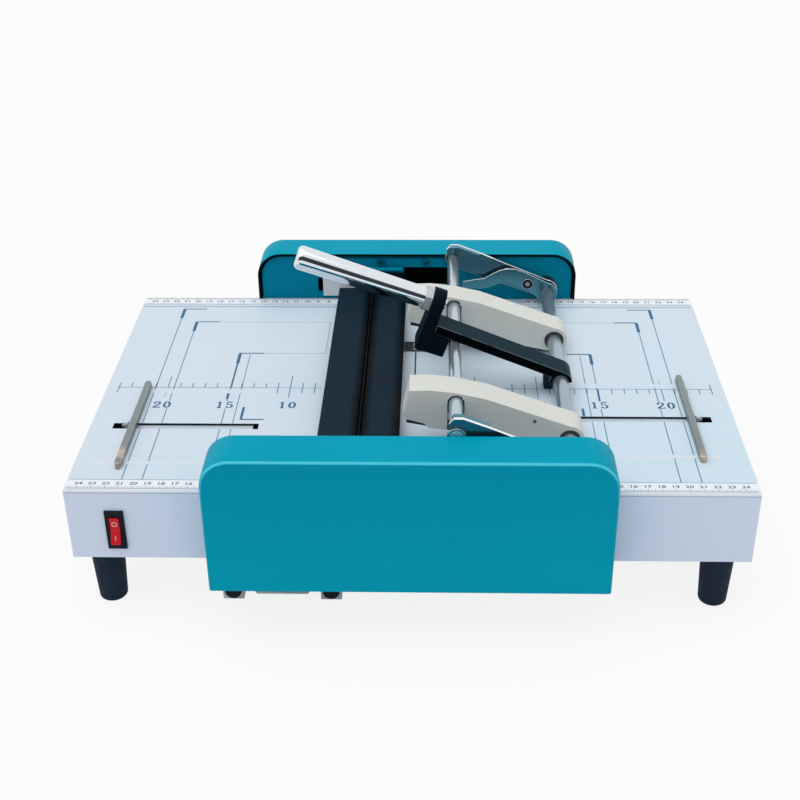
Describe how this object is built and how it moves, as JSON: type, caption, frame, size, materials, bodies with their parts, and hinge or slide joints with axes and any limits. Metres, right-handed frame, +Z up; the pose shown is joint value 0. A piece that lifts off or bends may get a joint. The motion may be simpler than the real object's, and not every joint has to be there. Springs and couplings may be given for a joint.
{
  "type": "booklet stapler",
  "caption": "Table-top booklet stapler: a flat sheet table with stops, stapling heads under a hand press, a powered fold under a slotted bridge, and teal end covers.",
  "frame": {"origin": "on the floor under the middle of the table", "axes": "+X to the right along the table's width, +Y to the rear, +Z up"},
  "size_m": [0.5, 0.3794, 0.2352],
  "materials": {
    "white_paint": "satin",
    "ruler_film": "matte",
    "teal_paint": "gloss",
    "dark_paint": "satin",
    "grey_paint": "satin",
    "plated_steel": "satin",
    "polished_chrome": "polished",
    "spring_steel": "satin",
    "bush_bronze": "satin",
    "ivory_plastic": "satin",
    "black_plastic": "satin",
    "red_plastic": "gloss",
    "gear_plastic": "matte",
    "black_rubber": "matte"
  },
  "bodies": {
    "base": {"table": "white_paint", "base_plate": "grey_paint", "ruler_strips": "ruler_film", "feet": "black_rubber", "pan_screws": "plated_steel", "front_frame": "teal_paint", "rear_frame": "teal_paint", "front_cover": "teal_paint", "rear_cover": "teal_paint", "window_bracket": "teal_paint", "bridge_brackets": "grey_paint", "bridge_left": "dark_paint", "bridge_right": "dark_paint", "anvils": "spring_steel", "arm_buffer": "black_rubber", "frame_bushes": "bush_bronze", "switch_frame": "black_plastic", "power_inlet": "black_plastic", "motor": "plated_steel", "solenoids": "plated_steel", "delivery_chute": "grey_paint", "chute_rails": "grey_paint", "rail_plugs": "black_plastic"},
    "press": {"pivot_shaft": "plated_steel", "press_shaft": "plated_steel", "press_arm": "dark_paint", "handle_bracket": "dark_paint", "handle": "polished_chrome", "front_lever": "plated_steel", "rear_lever": "plated_steel", "front_link": "plated_steel", "rear_link": "plated_steel", "press_fasteners": "plated_steel", "driver_arms": "spring_steel", "return_cranks": "plated_steel", "return_springs": "spring_steel"},
    "front_head": {"front_head_cover": "ivory_plastic", "front_magazine": "plated_steel", "front_staples": "spring_steel", "front_bushes": "black_plastic"},
    "rear_head": {"rear_head_cover": "ivory_plastic", "rear_magazine": "plated_steel", "rear_staples": "spring_steel", "rear_bushes": "black_plastic"},
    "front_pusher": {"front_pusher": "black_plastic"},
    "rear_pusher": {"rear_pusher": "black_plastic"},
    "left_stop": {"left_stop": "grey_paint", "left_slider": "plated_steel"},
    "right_stop": {"right_stop": "grey_paint", "right_slider": "plated_steel"},
    "switch": {"switch_rocker": "red_plastic"},
    "knife": {"knife_blade": "spring_steel", "knife_links": "plated_steel", "knife_springs": "spring_steel"},
    "left_roller": {"left_roller": "black_rubber", "left_gear": "gear_plastic"},
    "right_roller": {"right_roller": "black_rubber", "right_gear": "gear_plastic"},
    "idler": {"idler_gear": "gear_plastic"},
    "pinion": {"motor_pinion": "plated_steel"}
  },
  "joints": [
    {"name": "press_swing", "type": "hinge", "parent": "base", "child": "press", "pos_m": [0.1175, 0, 0.123], "axis": [0, -1, 0], "range_deg": [0, 13.4], "stiffness_Nm_per_rad": 2.5, "springref_deg": -57.3, "deforming": ["return_springs"]},
    {"name": "front_head_swing", "type": "hinge", "parent": "base", "child": "front_head", "pos_m": [0.1175, 0, 0.123], "axis": [0, -1, 0], "range_deg": [0, 11.26]},
    {"name": "rear_head_swing", "type": "hinge", "parent": "base", "child": "rear_head", "pos_m": [0.1175, 0, 0.123], "axis": [0, -1, 0], "range_deg": [0, 11.26]},
    {"name": "front_pusher_slide", "type": "slide", "parent": "front_head", "child": "front_pusher", "axis": [0.9808, 0, -0.1952], "range_m": [0, 0.032], "stiffness_N_per_m": 40, "springref_m": -0.02},
    {"name": "rear_pusher_slide", "type": "slide", "parent": "rear_head", "child": "rear_pusher", "axis": [0.9808, 0, -0.1952], "range_m": [0, 0.032], "stiffness_N_per_m": 40, "springref_m": -0.02},
    {"name": "left_stop_slide", "type": "slide", "parent": "base", "child": "left_stop", "axis": [1, 0, 0], "range_m": [-0.0085, 0.08]},
    {"name": "right_stop_slide", "type": "slide", "parent": "base", "child": "right_stop", "axis": [1, 0, 0], "range_m": [-0.08, 0.0085]},
    {"name": "switch_rock", "type": "hinge", "parent": "base", "child": "switch", "pos_m": [-0.215, -0.1575, 0.0758], "axis": [1, 0, 0], "range_deg": [0, 14]},
    {"name": "knife_drop", "type": "slide", "parent": "base", "child": "knife", "axis": [0, 0, 1], "range_m": [-0.015, 0], "stiffness_N_per_m": 400, "springref_m": 0.01, "deforming": ["knife_springs"]},
    {"name": "left_roller_spin", "type": "hinge", "parent": "base", "child": "left_roller", "pos_m": [-0.05375, 0, 0.092], "axis": [0, 1, 0], "continuous": true},
    {"name": "right_roller_spin", "type": "hinge", "parent": "base", "child": "right_roller", "pos_m": [-0.02525, 0, 0.092], "axis": [0, 1, 0], "continuous": true},
    {"name": "idler_spin", "type": "hinge", "parent": "base", "child": "idler", "pos_m": [0.00325, 0, 0.092], "axis": [0, 1, 0], "continuous": true},
    {"name": "pinion_spin", "type": "hinge", "parent": "base", "child": "pinion", "pos_m": [0.02595, 0, 0.08421], "axis": [0, 1, 0], "continuous": true}
  ],
  "couplings": [
    {"joint": "front_head_swing", "follows": "press_swing", "ratio": 0.84},
    {"joint": "rear_head_swing", "follows": "press_swing", "ratio": 0.84},
    {"joint": "right_roller_spin", "follows": "left_roller_spin", "ratio": -1},
    {"joint": "idler_spin", "follows": "left_roller_spin", "ratio": 1},
    {"joint": "pinion_spin", "follows": "left_roller_spin", "ratio": -1.4615}
  ]
}
